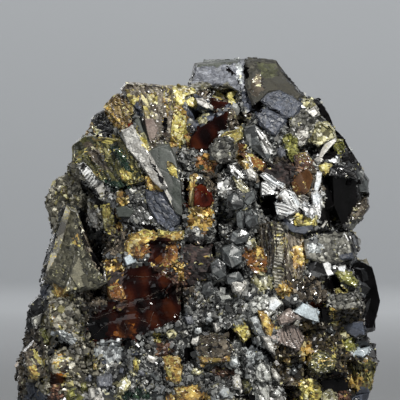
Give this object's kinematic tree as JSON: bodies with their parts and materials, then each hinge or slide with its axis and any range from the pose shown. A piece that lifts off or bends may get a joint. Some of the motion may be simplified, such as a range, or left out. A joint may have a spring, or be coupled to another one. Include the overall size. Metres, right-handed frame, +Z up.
{
  "type": "sphalerite crystal cluster",
  "caption": "Natural sphalerite specimen: dark, amber and olive crystals grown together in one upright mass, cut off flat below.",
  "frame": {"origin": "middle of the bounding box's bottom face, on the flat cut that the specimen rests on", "axes": "+Z up through the specimen's height, -Y towards the viewer of its show side, +X to that viewer's right"},
  "size_m": [0.0728, 0.0536, 0.0782],
  "materials": {
    "sphalerite": "resinous to near-metallic crystal faces, dark grey to black with amber, maroon, ochre yellow and olive zones, etched and striated, glossy in places"
  },
  "bodies": {
    "root": {"sphalerite_cluster": "sphalerite"}
  },
  "joints": []
}
